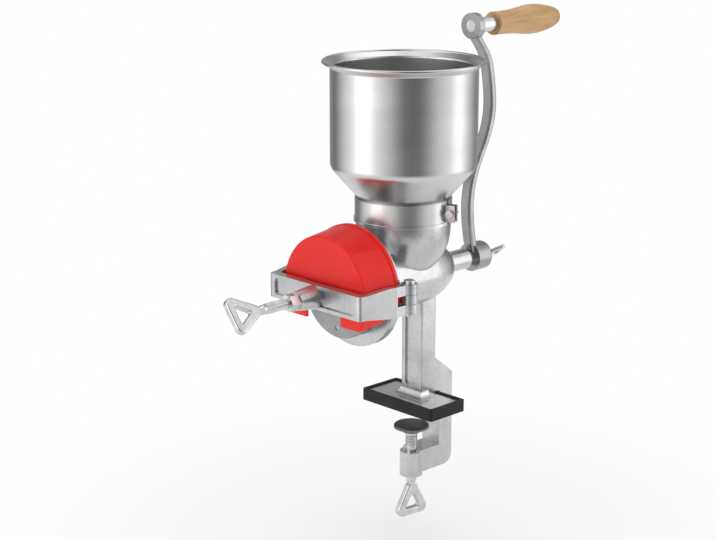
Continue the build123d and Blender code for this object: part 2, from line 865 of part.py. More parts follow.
collar_bottom_z = hopper_foot_z
collar_ear_dir = (cos(radians(collar_ear_angle)), sin(radians(collar_ear_angle)), 0)
collar_across_dir = (-sin(radians(collar_ear_angle)), cos(radians(collar_ear_angle)), 0)
collar_ear_plane = Plane(
    origin=(hopper_x, 0, collar_bottom_z + collar_height / 2),
    x_dir=collar_ear_dir,
    z_dir=collar_across_dir,
)
collar_screw_r = collar_screw_d / 2
collar_ear_out = collar_outer_r + collar_ear_length
collar_screw_place = (collar_outer_r + collar_ear_length / 2, 0)
collar_ear_face = collar_gap / 2 + collar_ear_thickness
with BuildPart() as hopper_collar:
    turned(
        hopper_plane,
        hopper_axis,
        (collar_inner_r, collar_bottom_z),
        (collar_outer_r + collar_lip, collar_bottom_z),
        (collar_outer_r + collar_lip, collar_bottom_z + collar_lip_height),
        (collar_outer_r, collar_bottom_z + collar_lip_height),
        (collar_outer_r, collar_bottom_z + collar_height),
        (collar_inner_r, collar_bottom_z + collar_height),
    )
    with BuildSketch(collar_ear_plane):
        with Locations((collar_inner_r + overrun / 2, 0)):
            Rectangle(
                collar_ear_out - collar_inner_r - overrun / 2,
                collar_ear_height,
                align=(Align.MIN, Align.CENTER),
            )
    extrude(amount=collar_ear_face, both=True)
    with BuildSketch(collar_ear_plane):
        with Locations((collar_inner_r - overrun, 0)):
            Rectangle(
                collar_ear_length + 2 * collar_thickness + 2 * overrun,
                collar_height + 2 * overrun,
                align=(Align.MIN, Align.CENTER),
            )
    extrude(amount=collar_gap / 2, both=True, mode=Mode.SUBTRACT)
    with BuildSketch(collar_ear_plane):
        with Locations(collar_screw_place):
            Circle(collar_screw_r + screw_hole_clearance)
    extrude(amount=2 * collar_ear_face, both=True, mode=Mode.SUBTRACT)
finish(hopper_collar, "hopper_collar")

with BuildPart() as collar_screw:
    with BuildSketch(collar_ear_plane.offset(-collar_ear_face)):
        with Locations(collar_screw_place):
            Circle(collar_screw_r)
    extrude(amount=2 * collar_ear_face + collar_nut_thickness + overrun)
    with BuildSketch(collar_ear_plane.offset(-collar_ear_face - collar_screw_head_height)):
        with Locations(collar_screw_place):
            Circle(collar_screw_head_r)
    extrude(amount=collar_screw_head_height)
finish(collar_screw, "collar_screw")

with BuildPart() as collar_nut:
    with BuildSketch(collar_ear_plane.offset(collar_ear_face)):
        with Locations(collar_screw_place):
            RegularPolygon(collar_nut_flats / 2, 6, major_radius=False)
            Circle(collar_screw_r + screw_hole_clearance, mode=Mode.SUBTRACT)
    extrude(amount=collar_nut_thickness)
finish(collar_nut, "collar_nut")

# ---------------------------------------------------------------- feed screw shaft
flight_length = flight_end_x - flight_start_x
flight_path = Helix(
    flight_pitch,
    flight_length,
    flight_root_r,
    center=(flight_start_x, 0, shaft_height),
    direction=(1, 0, 0),
)
flight_start = flight_path @ 0
flight_plane = Plane(
    origin=flight_start,
    x_dir=flight_start - Vector(flight_start_x, 0, shaft_height),
    z_dir=flight_path % 0,
)
flight_height = flight_r - flight_root_r + overrun
root_end_x = flight_end_x + flight_root_run_out
with BuildPart() as flight:
    with BuildSketch(flight_plane):
        Polygon(
            (-2 * overrun, -flight_thickness / 2),
            (flight_height, -flight_thickness / 3),
            (flight_height, flight_thickness / 3),
            (-2 * overrun, flight_thickness / 2),
            align=None,
        )
    sweep(path=flight_path, is_frenet=True)
    round_bar(
        across_shaft(flight_start_x - flight_thickness),
        flight_r,
        flight_length + 2 * flight_thickness,
        mode=Mode.INTERSECT,
    )

with BuildPart() as auger_shaft:
    round_bar(across_shaft(moving_plate_front_x), flight_root_r, root_end_x - moving_plate_front_x)
    add(flight.part)
    turned(
        shaft_side,
        shaft_axis,
        (root_end_x, 0),
        (root_end_x, flight_root_r),
        (root_end_x + flight_root_run_out, shaft_r),
        (hub_front_x, shaft_r),
        (hub_front_x, 0),
    )
    # square seats for the plate carrier and the crank
    with BuildSketch(across_shaft(shaft_nose_x)):
        Rectangle(square_seat, square_seat)
    extrude(amount=moving_plate_front_x - shaft_nose_x)
    with BuildSketch(across_shaft(hub_front_x)):
        Rectangle(square_seat, square_seat)
    extrude(amount=hub_length - overrun / 2)
    round_hole(
        across_shaft(hub_rear_x - thumb_thread_length),
        thumb_screw_d / 2 + thread_clearance,
        thumb_thread_length + overrun,
    )
    thrust_sphere(ball_r + ball_clearance, mode=Mode.SUBTRACT)
finish(auger_shaft, "auger_shaft")

# ---------------------------------------------------------------- grinding plates and carrier
def grooved_plate(front_x, face_x, head_x):
    """Grinding ring with radial grooves on its working face and sunk screw holes."""
    with BuildPart() as plate:
        with BuildSketch(across_shaft(front_x)) as ring:
            Circle(plate_r)
            Circle(plate_eye_r, mode=Mode.SUBTRACT)
            with PolarLocations(plate_screw_centre_r, plate_screw_count, start_angle=plate_screw_angle):
                Circle(plate_screw_hole_r, mode=Mode.SUBTRACT)
        extrude(ring.sketch, amount=plate_thickness)
        with BuildSketch(across_shaft(face_x)) as grooves:
            with PolarLocations(plate_eye_r - overrun, plate_groove_count):
                with Locations((0, plate_groove_skew)):
                    Rectangle(
                        plate_r - plate_eye_r + 2 * overrun,
                        plate_groove_width,
                        align=(Align.MIN, Align.CENTER),
                    )
        extrude(grooves.sketch, amount=plate_groove_depth, both=True, mode=Mode.SUBTRACT)
        with BuildSketch(across_shaft(head_x)) as sinks:
            with PolarLocations(plate_screw_centre_r, plate_screw_count, start_angle=plate_screw_angle):
                Circle(plate_screw_head_d / 2 + screw_hole_clearance)
        extrude(sinks.sketch, amount=plate_head_sink, mode=Mode.SUBTRACT)
    return plate


def plate_screws(head_x, shank_x, shank_length):
    """Three round-head screws that hold one plate."""
    with BuildPart() as screws:
        with BuildSketch(across_shaft(head_x)) as heads:
            with PolarLocations(plate_screw_centre_r, plate_screw_count, start_angle=plate_screw_angle):
                Circle(plate_screw_head_d / 2)
        extrude(heads.sketch, amount=plate_screw_head_depth)
        with BuildSketch(across_shaft(shank_x)) as shanks:
            with PolarLocations(plate_screw_centre_r, plate_screw_count, start_angle=plate_screw_angle):
                Circle(plate_screw_d / 2)
        extrude(shanks.sketch, amount=shank_length)
    return screws


fixed_burr = grooved_plate(fixed_plate_front_x, fixed_plate_front_x, fixed_plate_front_x)
finish(fixed_burr, "fixed_burr")

rotating_burr = grooved_plate(
    moving_plate_front_x, moving_plate_back_x, moving_plate_back_x - plate_head_sink
)
finish(rotating_burr, "rotating_burr")

fixed_screw_seat_x = fixed_plate_front_x + plate_head_sink
fixed_burr_screws = plate_screws(
    fixed_screw_seat_x - plate_screw_head_depth,
    fixed_screw_seat_x,
    disc_front_x + plate_screw_reach - head_edge_r - fixed_screw_seat_x,
)
finish(fixed_burr_screws, "fixed_burr_screws")

moving_screw_seat_x = moving_plate_back_x - plate_head_sink
moving_screw_length = moving_screw_seat_x - moving_plate_front_x + carrier_thickness - head_edge_r
rotating_burr_screws = plate_screws(
    moving_screw_seat_x, moving_screw_seat_x - moving_screw_length, moving_screw_length
)
finish(rotating_burr_screws, "rotating_burr_screws")

with BuildPart() as burr_carrier:
    turned(
        shaft_side,
        shaft_axis,
        (moving_plate_front_x, 0),
        (moving_plate_front_x, carrier_r),
        (carrier_front_x + overrun, carrier_r),
        (carrier_front_x, carrier_r - overrun),
        (carrier_front_x, carrier_hub_r),
        (carrier_hub_x, carrier_hub_r - overrun),
        (carrier_hub_x, 0),
    )
    with BuildSketch(across_shaft(carrier_hub_x - overrun)):
        Rectangle(square_seat + 2 * square_seat_clearance, square_seat + 2 * square_seat_clearance)
    extrude(amount=carrier_hub_length + carrier_thickness + 2 * overrun, mode=Mode.SUBTRACT)
    with BuildSketch(across_shaft(carrier_front_x - overrun)):
        with PolarLocations(plate_screw_centre_r, plate_screw_count, start_angle=plate_screw_angle):
            Circle(plate_screw_hole_r)
    extrude(amount=carrier_thickness + 2 * overrun, mode=Mode.SUBTRACT)
finish(burr_carrier, "burr_carrier")

# ---------------------------------------------------------------- crank arm and its fixings
arm_front = [(x - crank_depth / 2, shaft_height + share * crank_throw) for share, x in crank_line]
arm_rear = [(x + crank_depth / 2, shaft_height + share * crank_throw) for share, x in crank_line]
with BuildPart() as crank_arm:
    with BuildSketch(side_plane):
        with BuildLine():
            Spline(*arm_front)
            Line(arm_front[-1], arm_rear[-1])
            Spline(*arm_rear)
            Line(arm_rear[0], arm_front[0])
        make_face()
    extrude(amount=crank_width / 2, both=True)
    fillet(crank_arm.edges().filter_by(Axis.Y, reverse=True).filter_by(GeomType.BSPLINE), crank_edge_r)
    round_bar(across_shaft(hub_front_x), hub_r, hub_length)
    fillet(crank_arm.edges().filter_by(GeomType.CIRCLE).group_by(Axis.X)[-1], crank_edge_r)
    round_bar(across_grip(eye_x - eye_thickness / 2), eye_r, eye_thickness)
    with BuildSketch(across_shaft(hub_front_x - 2 * crank_depth)):
        Rectangle(square_seat + 2 * square_seat_clearance, square_seat + 2 * square_seat_clearance)
    extrude(amount=hub_length + 3 * crank_depth, mode=Mode.SUBTRACT)
    round_bar(
        across_shaft(hub_front_x - crank_depth),
        shaft_r + spindle_relief,
        crank_depth,
        mode=Mode.SUBTRACT,
    )
    round_hole(
        across_grip(eye_x - eye_thickness / 2),
        spindle_bolt_d / 2 + screw_hole_clearance,
        eye_thickness + overrun,
    )
    round_hole(across_grip(eye_x - eye_thickness / 2), eye_recess_r, eye_recess_depth)
    round_bar(
        across_grip(eye_x + eye_thickness / 2),
        spindle_d / 2 + spindle_relief,
        spindle_relief_length,
        mode=Mode.SUBTRACT,
    )
finish(crank_arm, "crank_arm")

washer_end_x = hub_rear_x + washer_thickness
with BuildPart() as crank_washer:
    round_bar(across_shaft(hub_rear_x), washer_r, washer_thickness)
    round_hole(
        across_shaft(hub_rear_x), thumb_screw_d / 2 + screw_hole_clearance, washer_thickness + overrun
    )
finish(crank_washer, "crank_washer")

thumb_turn = radians(thumb_ring_turn)
thumb_ring_plane = Plane(
    origin=(washer_end_x + thumb_neck_length, 0, shaft_height),
    x_dir=(1, 0, 0),
    z_dir=(0, -sin(thumb_turn), cos(thumb_turn)),
)
thumb_tip_x = hub_rear_x - thumb_thread_length + overrun
thumb_ring = ring_head(thumb_ring_plane, thumb_ring_width, thumb_ring_length, thumb_ring_bar)
with BuildPart() as crank_thumb_screw:
    add(thumb_ring)
    turned(
        shaft_side,
        shaft_axis,
        (thumb_tip_x, 0),
        (thumb_tip_x, thumb_screw_d / 2 - overrun),
        (thumb_tip_x + overrun, thumb_screw_d / 2),
        (washer_end_x, thumb_screw_d / 2),
        (washer_end_x, thumb_shoulder_r),
        (washer_end_x + thumb_neck_length / 3, thumb_shoulder_r),
        (washer_end_x + thumb_neck_length, thumb_ring_bar / 2),
        (washer_end_x + thumb_neck_length + ring_reach * thumb_ring_bar, thumb_ring_bar / 3),
        (washer_end_x + thumb_neck_length + ring_reach * thumb_ring_bar, 0),
    )
finish(crank_thumb_screw, "crank_thumb_screw")

# ---------------------------------------------------------------- grip spindle and grip
spindle_end_x = grip_end_x - grip_end_recess_depth + grip_end_play
with BuildPart() as grip_spindle:
    turned(
        grip_side,
        grip_axis,
        (eye_x - eye_thickness / 2, 0),
        (eye_x - eye_thickness / 2, eye_recess_r - eye_rivet_gap),
        (eye_x - eye_thickness / 2 + eye_recess_depth, eye_recess_r - eye_rivet_gap),
        (eye_x - eye_thickness / 2 + eye_recess_depth, spindle_bolt_d / 2),
        (eye_x + eye_thickness / 2, spindle_bolt_d / 2),
        (eye_x + eye_thickness / 2, spindle_d / 2),
        (grip_start_x - grip_end_play, spindle_d / 2),
        (grip_start_x - grip_end_play, spindle_bolt_d / 2),
        (spindle_end_x, spindle_bolt_d / 2),
        (spindle_end_x, spindle_head_r),
        (spindle_end_x + spindle_head_height, spindle_head_r - head_edge_r),
        (spindle_end_x + spindle_head_height, 0),
    )
finish(grip_spindle, "grip_spindle")

grip_points = [(grip_start_x + share * grip_length, radius) for share, radius in grip_shape]
with BuildPart() as grip:
    with BuildSketch(grip_side):
        with BuildLine():
            Spline(*grip_points)
            Polyline(grip_points[-1], (grip_end_x, 0), (grip_start_x, 0), grip_points[0])
        make_face()
    revolve(axis=grip_axis)
    fillet(grip.edges().group_by(Axis.X)[0], grip_edge_r)
    fillet(grip.edges().group_by(Axis.X)[-1], grip_edge_r)
    round_hole(across_grip(grip_start_x), spindle_bolt_d / 2 + grip_clearance, grip_length + overrun)
    round_bar(
        across_grip(grip_end_x - grip_end_recess_depth),
        grip_end_recess_r,
        grip_end_recess_depth + overrun,
        mode=Mode.SUBTRACT,
    )
finish(grip, "grip")
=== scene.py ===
"""Looks of the hand-cranked plate mill: materials, screw threads, camera, light and floor.

Lengths are in metres, and the axes are the frame's: X runs along the crank shaft towards the
crank, and Z is up. Turns round the object are in degrees.
"""

import json
import math

import bmesh
import bpy
from mathutils import Matrix, Vector


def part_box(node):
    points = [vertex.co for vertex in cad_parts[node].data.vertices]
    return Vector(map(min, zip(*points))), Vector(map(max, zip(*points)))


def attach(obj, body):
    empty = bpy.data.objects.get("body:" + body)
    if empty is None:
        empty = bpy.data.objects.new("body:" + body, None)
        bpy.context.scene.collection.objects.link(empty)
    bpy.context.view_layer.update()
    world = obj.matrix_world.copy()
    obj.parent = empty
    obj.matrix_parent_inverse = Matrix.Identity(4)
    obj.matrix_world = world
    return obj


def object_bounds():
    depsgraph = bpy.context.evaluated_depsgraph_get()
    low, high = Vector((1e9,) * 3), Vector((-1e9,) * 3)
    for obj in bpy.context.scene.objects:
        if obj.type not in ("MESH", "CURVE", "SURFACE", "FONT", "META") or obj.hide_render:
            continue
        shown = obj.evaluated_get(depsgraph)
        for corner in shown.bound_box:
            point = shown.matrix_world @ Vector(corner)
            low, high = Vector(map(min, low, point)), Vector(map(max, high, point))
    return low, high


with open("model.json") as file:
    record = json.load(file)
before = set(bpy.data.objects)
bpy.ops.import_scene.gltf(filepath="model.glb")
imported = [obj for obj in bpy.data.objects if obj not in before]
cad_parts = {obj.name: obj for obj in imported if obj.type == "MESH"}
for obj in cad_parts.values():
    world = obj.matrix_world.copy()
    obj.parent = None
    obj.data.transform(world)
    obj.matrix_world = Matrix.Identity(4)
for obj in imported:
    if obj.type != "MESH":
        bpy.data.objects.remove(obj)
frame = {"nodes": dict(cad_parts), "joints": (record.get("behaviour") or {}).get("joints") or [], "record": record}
cad_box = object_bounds()

# ---------------------------------------------------------------- camera, at the photograph's viewpoint
VIEW_AZIMUTH = -43.9
VIEW_ELEVATION = 14.84
VIEW_DISTANCE = 1.740
VIEW_SIDEWAYS = -0.0573
VIEW_HEIGHT = 0.1453
FOCAL_PIXELS = 1705.0
IMAGE_WIDTH = 716
SENSOR_WIDTH = 36.0

# ---------------------------------------------------------------- places read from the frame
JOINT_PLACES = {joint["name"]: Vector(joint["pos_m"]) for joint in frame["joints"] if "pos_m" in joint}
SHAFT_HEIGHT = JOINT_PLACES["adjust_turn"].z
CLAMP_X = JOINT_PLACES["clamp_turn"].x
LOCK_NUT_FACE_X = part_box("lock_nut")[0].x
CLAMP_DISC_UNDERSIDE_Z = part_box("clamp_disc")[0].z

# ---------------------------------------------------------------- threads
STEPS_PER_TURN = 28
THREAD_HEIGHT = 0.0005
THREAD_SUNK = 0.0002
THREAD_ROOT_SHARE = 0.45
THREAD_CREST_SHARE = 0.08
LOWEST_HEIGHT_SHARE = 0.05

ADJUSTING_SCREW_RADIUS = 0.0048
ADJUSTING_PITCH = 0.0015
ADJUSTING_THREAD_GAP = 0.0021
ADJUSTING_THREAD_LENGTH = 0.0265

CLAMP_SCREW_RADIUS = 0.0058
CLAMP_PITCH = 0.00175
CLAMP_THREAD_GAP = 0.0013
CLAMP_THREAD_LENGTH = 0.0165

# ---------------------------------------------------------------- light
LIGHT_AIM = (0.0, 0.0, 0.18)
SIDE_LIGHT_DISTANCE = 1.6
SIDE_LIGHT_HEIGHT = 0.42
SIDE_LIGHT_TALL = 1.5
TOP_LIGHT_DISTANCE = 0.5
TOP_LIGHT_HEIGHT = 1.5
TOP_LIGHT_SIZE = 1.2

FILL_COLOR = (0.98, 0.99, 1.0)
FILL_STRENGTH = 0.72
STUDIO_DARK = (0.12, 0.12, 0.124)
# bright sides of the studio that only reflections see: turn, full within, gone beyond, level
STUDIO_SIDES = (
    (-67.0, 4.0, 69.0, 1.12),
    (84.0, 4.0, 60.0, 1.02),
    (180.0, 10.0, 44.0, 0.42),
)

# ---------------------------------------------------------------- floor
FLOOR_DROP = 0.016
FLOOR_RADIUS = 0.9
FLOOR_GREY = 0.90
FADE_START_RADIUS = 0.02
FADE_END_RADIUS = 0.45
FADE_START_SHARE = 0.55

# ---------------------------------------------------------------- castings given painted shade: a darker copy of the casting
SHADED_CASTING_NODES = ("crank_arm", "burr_carrier")


# ---------------------------------------------------------------- shader helpers
def new_material(name):
    """New material, its node tree, and its Principled shader, which is wired to the output."""
    material = bpy.data.materials.new(name)
    material.use_nodes = True
    tree = material.node_tree
    tree.nodes.clear()
    shader = tree.nodes.new("ShaderNodeBsdfPrincipled")
    output = tree.nodes.new("ShaderNodeOutputMaterial")
    tree.links.new(shader.outputs["BSDF"], output.inputs["Surface"])
    return material, tree, shader


def grey(level):
    """Neutral colour of a brightness."""
    return (level, level, level)


def object_position(tree, scale=(1.0, 1.0, 1.0)):
    """Object coordinates, stretched, for a texture."""
    place = tree.nodes.new("ShaderNodeTexCoord")
    mapping = tree.nodes.new("ShaderNodeMapping")
    mapping.inputs["Scale"].default_value = scale
    tree.links.new(place.outputs["Object"], mapping.inputs["Vector"])
    return mapping.outputs["Vector"]


def noise(tree, vector, scale, detail, roughness, distortion=0.0):
    """Noise texture's factor."""
    node = tree.nodes.new("ShaderNodeTexNoise")
    node.inputs["Scale"].default_value = scale
    node.inputs["Detail"].default_value = detail
    node.inputs["Roughness"].default_value = roughness
    node.inputs["Distortion"].default_value = distortion
    tree.links.new(vector, node.inputs["Vector"])
    return node.outputs["Fac"]


def ramp(tree, factor, *stops):
    """Colour ramp through (place, colour) stops."""
    node = tree.nodes.new("ShaderNodeValToRGB")
    elements = node.color_ramp.elements
    while len(elements) < len(stops):
        elements.new(0.5)
    for element, (place, color) in zip(elements, stops):
        element.position = place
        element.color = (*color, 1.0)
    tree.links.new(factor, node.inputs["Fac"])
    return node.outputs["Color"]


def remap(tree, factor, low, high, start=0.0, end=1.0):
    """Linear change of a factor's range, from start and end to low and high."""
    node = tree.nodes.new("ShaderNodeMapRange")
    node.inputs["From Min"].default_value = start
    node.inputs["From Max"].default_value = end
    node.inputs["To Min"].default_value = low
    node.inputs["To Max"].default_value = high
    tree.links.new(factor, node.inputs["Value"])
    return node.outputs["Result"]


def mix_colors(tree, factor, first, second, blend="MIX"):
    """Mix of two colours, each a socket or a colour."""
    node = tree.nodes.new("ShaderNodeMix")
    node.data_type = "RGBA"
    node.blend_type = blend
    for name, value in (("Factor", factor), ("A", first), ("B", second)):
        target = next(socket for socket in node.inputs if socket.name == name and socket.enabled)
        if isinstance(value, bpy.types.NodeSocket):
            tree.links.new(value, target)
        elif name == "Factor":
            target.default_value = value
        else:
            target.default_value = (*value, 1.0)
    return next(socket for socket in node.outputs if socket.enabled)


def set_surface(tree, shader, color, roughness, **values):
    """Wires colour and roughness into the shader, and sets its plain values by their names."""
    tree.links.new(color, shader.inputs["Base Color"])
    tree.links.new(roughness, shader.inputs["Roughness"])
    for name, value in values.items():
        shader.inputs[name.replace("_", " ")].default_value = value


def add_bump(tree, shader, height, strength, distance):
    """Bump on the shader's normal, chained onto any bump already there."""
    node = tree.nodes.new("ShaderNodeBump")
    node.inputs["Strength"].default_value = strength
    node.inputs["Distance"].default_value = distance
    tree.links.new(height, node.inputs["Height"])
    socket = shader.inputs["Normal"]
    if socket.is_linked:
        tree.links.new(socket.links[0].from_socket, node.inputs["Normal"])
    tree.links.new(node.outputs["Normal"], socket)


# ---------------------------------------------------------------- materials
def cast_metal(name, darkest, lightest):
    """Tumbled bright casting: softly pitted, with worn lighter and darker clouds."""
    material, tree, shader = new_material(name)
    place = object_position(tree)
    clouds = noise(tree, place, scale=26.0, detail=4.0, roughness=0.6)
    grain = noise(tree, place, scale=420.0, detail=3.0, roughness=0.6)
    dents = noise(tree, place, scale=90.0, detail=2.0, roughness=0.5)
    tint = ramp(tree, clouds, (0.30, darkest), (0.72, lightest))
    speckle = ramp(tree, grain, (0.35, grey(0.90)), (0.60, grey(1.0)))
    set_surface(
        tree,
        shader,
        color=mix_colors(tree, 0.7, tint, speckle, "MULTIPLY"),
        roughness=remap(tree, clouds, low=0.20, high=0.33),
        Metallic=0.9,
    )
    add_bump(tree, shader, dents, strength=0.30, distance=0.0005)
    add_bump(tree, shader, grain, strength=0.14, distance=0.00012)
    return material


def polished_steel():
    """Spun sheet steel: near-mirror with fine lines running round it."""
    material, tree, shader = new_material("polished_steel")
    lines = noise(tree, object_position(tree, (3.0, 3.0, 900.0)), scale=4.0, detail=3.0, roughness=0.6)
    smears = noise(tree, object_position(tree, (1.0, 1.0, 2.5)), scale=14.0, detail=3.0, roughness=0.5)
    tint = ramp(tree, smears, (0.35, (0.59, 0.586, 0.582)), (0.70, (0.67, 0.666, 0.662)))
    streaks = ramp(tree, lines, (0.30, grey(0.93)), (0.65, grey(1.0)))
    set_surface(
        tree,
        shader,
        color=mix_colors(tree, 0.8, tint, streaks, "MULTIPLY"),
        roughness=remap(tree, lines, low=0.26, high=0.34),
        Metallic=1.0,
    )
    add_bump(tree, shader, lines, strength=0.05, distance=0.0001)
    return material


def plated_steel(name, tint, smoothest, roughest):
    """Bright plated or turned steel with faint wear."""
    material, tree, shader = new_material(name)
    place = object_position(tree)
    wear = noise(tree, place, scale=120.0, detail=4.0, roughness=0.6)
    fine = noise(tree, place, scale=900.0, detail=2.0, roughness=0.5)
    darker = tuple(channel * 0.78 for channel in tint)
    set_surface(
        tree,
        shader,
        color=ramp(tree, wear, (0.35, darker), (0.62, tint)),
        roughness=remap(tree, wear, low=smoothest, high=roughest),
        Metallic=1.0,
    )
    add_bump(tree, shader, fine, strength=0.12, distance=0.0001)
    return material


def red_paint():
    """Glossy red enamel with a slight ripple."""
    material, tree, shader = new_material("red_paint")
    place = object_position(tree)
    depth = noise(tree, place, scale=18.0, detail=3.0, roughness=0.5)
    ripple = noise(tree, place, scale=260.0, detail=2.0, roughness=0.5)
    set_surface(
        tree,
        shader,
        color=ramp(tree, depth, (0.30, (0.88, 0.014, 0.009)), (0.72, (0.96, 0.022, 0.014))),
        roughness=remap(tree, depth, low=0.36, high=0.46),
        Specular_IOR_Level=0.22,
        Coat_Weight=0.22,
        Coat_Roughness=0.08,
    )
    add_bump(tree, shader, ripple, strength=0.08, distance=0.00015)
    return material


def black_rubber():
    """Matte black moulded rubber with a little dust."""
    material, tree, shader = new_material("black_rubber")
    place = object_position(tree)
    pits = noise(tree, place, scale=700.0, detail=3.0, roughness=0.6)
    dust = noise(tree, place, scale=40.0, detail=4.0, roughness=0.6)
    set_surface(
        tree,
        shader,
        color=ramp(tree, dust, (0.40, (0.007, 0.007, 0.008)), (0.75, (0.018, 0.018, 0.019))),
        roughness=remap(tree, pits, low=0.50, high=0.66),
        Specular_IOR_Level=0.3,
    )
    add_bump(tree, shader, pits, strength=0.25, distance=0.00018)
    return material


def grip_wood():
    """Varnished pale wood with grain along the grip."""
    material, tree, shader = new_material("grip_wood")
    long_grain = object_position(tree, (1.6, 26.0, 26.0))
    fine_grain = object_position(tree, (14.0, 420.0, 420.0))
    bands = noise(tree, long_grain, scale=3.2, detail=4.0, roughness=0.6, distortion=0.6)
    fibres = noise(tree, fine_grain, scale=1.6, detail=3.0, roughness=0.6)
    warm = noise(tree, object_position(tree), scale=16.0, detail=2.0, roughness=0.5)
    grain = ramp(
        tree,
        bands,
        (0.30, (0.40, 0.200, 0.068)),
        (0.50, (0.60, 0.345, 0.135)),
        (0.72, (0.74, 0.47, 0.215)),
    )
    threads = ramp(tree, fibres, (0.35, (0.74, 0.66, 0.58)), (0.60, grey(1.0)))
    streaked = mix_colors(tree, 0.75, grain, threads, "MULTIPLY")
    set_surface(
        tree,
        shader,
        color=mix_colors(tree, remap(tree, warm, low=0.0, high=0.25), streaked, (0.68, 0.36, 0.12)),
        roughness=remap(tree, bands, low=0.30, high=0.44),
        Coat_Weight=0.25,
        Coat_Roughness=0.2,
    )
    add_bump(tree, shader, fibres, strength=0.18, distance=0.0002)
    return material


def burr_iron():
    """Ground grey iron of the grinding plates."""
    material, tree, shader = new_material("burr_iron")
    place = object_position(tree)
    clouds = noise(tree, place, scale=60.0, detail=4.0, roughness=0.6)
    grain = noise(tree, place, scale=700.0, detail=3.0, roughness=0.6)
    set_surface(
        tree,
        shader,
        color=ramp(tree, clouds, (0.35, (0.20, 0.20, 0.205)), (0.70, (0.36, 0.36, 0.365))),
        roughness=remap(tree, grain, low=0.42, high=0.60),
        Metallic=0.85,
    )
    add_bump(tree, shader, grain, strength=0.3, distance=0.0002)
    return material


MATERIALS = {
    # cast_metal and the darker copy below are lit and shaded copies of one casting; the darker one is painted
    # shade for the crank arm and burr carrier
    "cast_metal": cast_metal("cast_metal", (0.46, 0.461, 0.467), (0.65, 0.651, 0.658)),
    "shaded_cast_metal": cast_metal("shaded_cast_metal", (0.26, 0.261, 0.267), (0.42, 0.421, 0.428)),
    "polished_steel": polished_steel(),
    "plated_steel": plated_steel("plated_steel", (0.70, 0.705, 0.71), smoothest=0.20, roughest=0.34),
    "clamp_steel": plated_steel("clamp_steel", (0.20, 0.205, 0.21), smoothest=0.34, roughest=0.50),
    "shaft_steel": plated_steel("shaft_steel", (0.52, 0.52, 0.53), smoothest=0.26, roughest=0.42),
    "burr_iron": burr_iron(),
    "red_paint": red_paint(),
    "black_rubber": black_rubber(),
    "grip_wood": grip_wood(),
}


def dress_nodes():
    """Gives every node of the frame its slot's material, and the shaded nodes a darker copy of the casting as
    painted shade.
    """
    slots = {piece["node"]: piece["material_slot"] for piece in frame["record"]["subparts"]}
    for name, node in frame["nodes"].items():
        # the crank arm and burr carrier take the darker copy of the casting as painted shade
        finish = "shaded_cast_metal" if name in SHADED_CASTING_NODES else slots[name]
        node.data.materials.clear()
        node.data.materials.append(MATERIALS[finish])
        for polygon in node.data.polygons:
            polygon.material_index = 0


# ---------------------------------------------------------------- screw threads
def add_piece(name, mesh_data, body, material):
    """Puts a finished mesh into the scene, riding on a body of the frame."""
    piece = bpy.data.objects.new(name, mesh_data)
    bpy.context.scene.collection.objects.link(piece)
    mesh_data.materials.append(MATERIALS[material])
    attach(piece, body)


def thread_ridge(name, body, material, start, direction, root, pitch, length):
    """Helical ridge round a screw's shank, which rises and dies away over a turn at each end."""
    axis = Vector(direction).normalized()
    side = axis.orthogonal().normalized()
    other = axis.cross(side)
    steps = int(STEPS_PER_TURN * (length / pitch - 1.0))
    mesh_data = bpy.data.meshes.new(name)
    shape = bmesh.new()
    sections = []
    for step in range(steps + 1):
        angle = 2 * math.pi * step / STEPS_PER_TURN
        along = pitch * step / STEPS_PER_TURN + pitch / 2
        fade = min(1.0, step / STEPS_PER_TURN, (steps - step) / STEPS_PER_TURN)
        top = root + THREAD_HEIGHT * max(fade, LOWEST_HEIGHT_SHARE)
        outward = side * math.cos(angle) + other * math.sin(angle)
        base = Vector(start) + axis * along
        profile = (
            (root - THREAD_SUNK, -THREAD_ROOT_SHARE * pitch),
            (top, -THREAD_CREST_SHARE * pitch),
            (top, THREAD_CREST_SHARE * pitch),
            (root - THREAD_SUNK, THREAD_ROOT_SHARE * pitch),
        )
        points = [base + outward * radius + axis * offset for radius, offset in profile]
        sections.append([shape.verts.new(point) for point in points])
    for first, second in zip(sections, sections[1:]):
        for index in range(len(first)):
            following = (index + 1) % len(first)
            shape.faces.new((first[index], first[following], second[following], second[index]))
    shape.faces.new(sections[0][::-1])
    shape.faces.new(sections[-1])
    bmesh.ops.recalc_face_normals(shape, faces=shape.faces)
    shape.to_mesh(mesh_data)
    shape.free()
    add_piece(name, mesh_data, body, material)


def build_threads():
    """Threads on the adjusting screw, outside its lock nut, and on the clamp screw, under its disc."""
    thread_ridge(
        "adjusting_screw_thread",
        "adjuster",
        "plated_steel",
        start=(LOCK_NUT_FACE_X - ADJUSTING_THREAD_GAP, 0.0, SHAFT_HEIGHT),
        direction=(-1, 0, 0),
        root=ADJUSTING_SCREW_RADIUS,
        pitch=ADJUSTING_PITCH,
        length=ADJUSTING_THREAD_LENGTH,
    )
    thread_ridge(
        "clamp_screw_thread",
        "clamp_handle",
        "plated_steel",
        start=(CLAMP_X, 0.0, CLAMP_DISC_UNDERSIDE_Z - CLAMP_THREAD_GAP),
        direction=(0, 0, -1),
        root=CLAMP_SCREW_RADIUS,
        pitch=CLAMP_PITCH,
        length=CLAMP_THREAD_LENGTH,
    )


# ---------------------------------------------------------------- camera, light and floor
def view_axes():
    """Right, up and backward directions of the camera."""
    azimuth = math.radians(VIEW_AZIMUTH)
    elevation = math.radians(VIEW_ELEVATION)
    right = Vector((math.cos(azimuth), math.sin(azimuth), 0.0))
    back = Vector(
        (
            math.sin(azimuth) * math.cos(elevation),
            -math.cos(azimuth) * math.cos(elevation),
            math.sin(elevation),
        )
    )
    return right, back.cross(right), back


